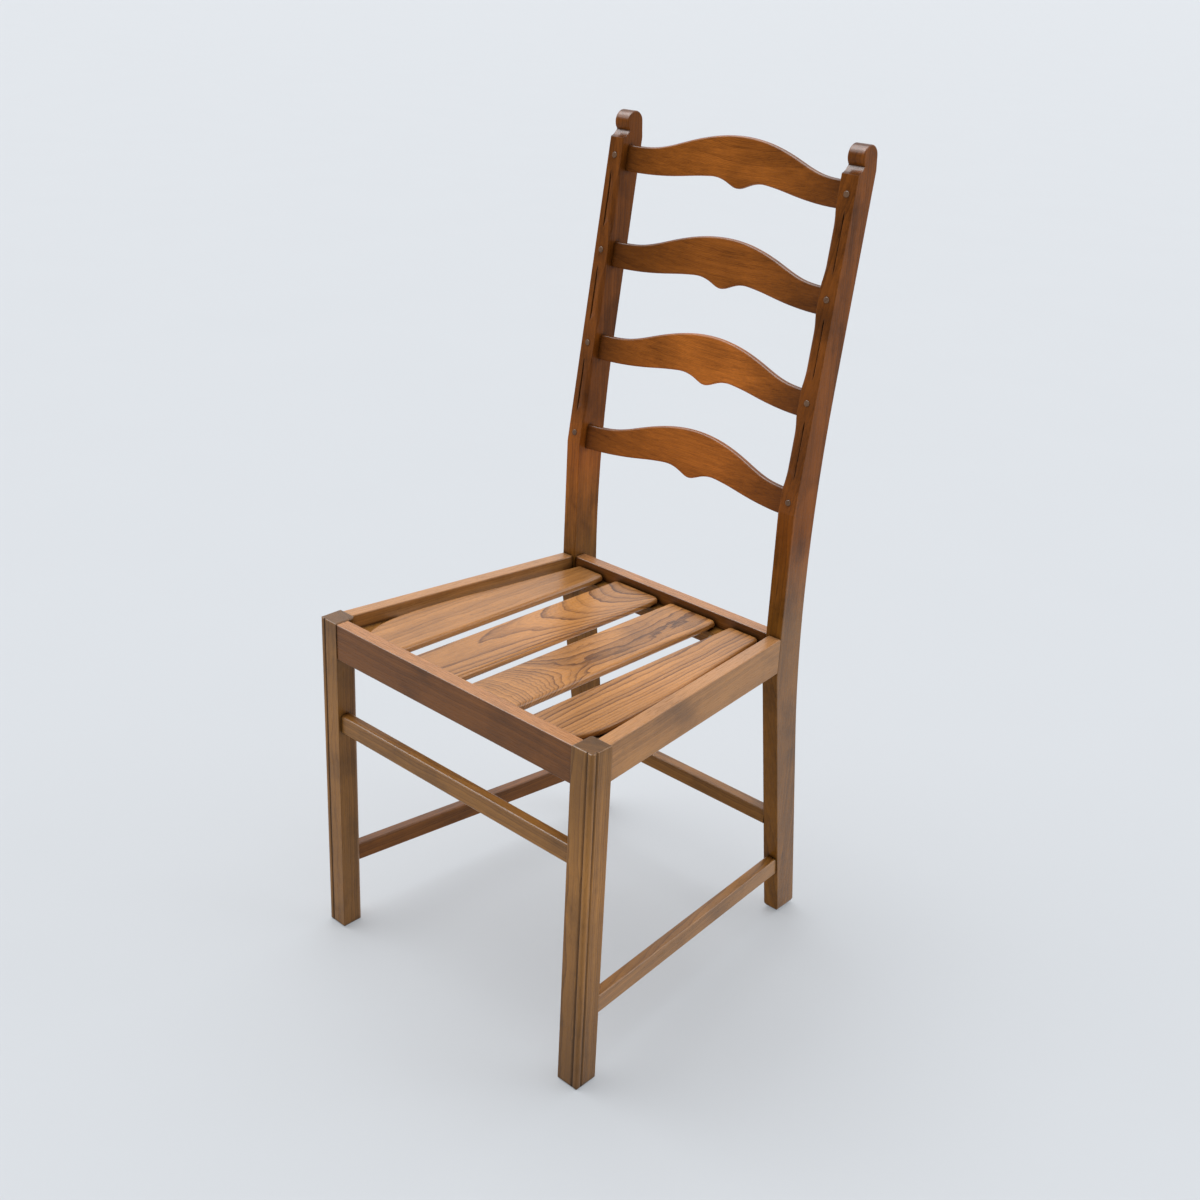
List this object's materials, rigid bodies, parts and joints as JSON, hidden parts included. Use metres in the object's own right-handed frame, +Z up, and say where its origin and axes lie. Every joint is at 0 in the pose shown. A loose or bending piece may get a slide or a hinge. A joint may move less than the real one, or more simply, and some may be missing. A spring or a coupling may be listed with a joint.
{
  "type": "ladderback chair",
  "caption": "Wooden ladderback dining chair with curved arched back slats, a slatted open seat, square front legs and a joined frame with stretchers.",
  "frame": {"origin": "on the floor under the middle of the overall box", "axes": "+Z up, -Y is the front of the chair where the sitter's legs are, X across the seat, chair symmetric about X = 0"},
  "size_m": [0.4374, 0.4678, 0.9858],
  "materials": {
    "frame_wood": "stained and satin polished",
    "ladder_wood": "stained and satin polished",
    "seat_wood": "stained and satin polished",
    "peg_wood": "dark stained",
    "hidden_wood": "stained",
    "screw_steel": "zinc plated"
  },
  "bodies": {
    "root": {"front_leg_left": "frame_wood", "front_leg_right": "frame_wood", "rear_post_left": "frame_wood", "rear_post_right": "frame_wood", "front_rail": "frame_wood", "back_rail": "frame_wood", "side_rail_left": "frame_wood", "side_rail_right": "frame_wood", "front_stretcher": "frame_wood", "back_stretcher": "frame_wood", "side_stretcher_left": "frame_wood", "side_stretcher_right": "frame_wood", "ladder_slat_1": "ladder_wood", "ladder_slat_2": "ladder_wood", "ladder_slat_3": "ladder_wood", "ladder_slat_4": "ladder_wood", "ladder_pegs_left": "peg_wood", "ladder_pegs_right": "peg_wood", "seat_slat_1": "seat_wood", "seat_slat_2": "seat_wood", "seat_slat_3": "seat_wood", "seat_slat_4": "seat_wood", "front_batten": "hidden_wood", "back_batten": "hidden_wood", "corner_block_left": "hidden_wood", "corner_block_right": "hidden_wood", "slat_screws": "screw_steel", "batten_screws": "screw_steel"}
  },
  "joints": []
}
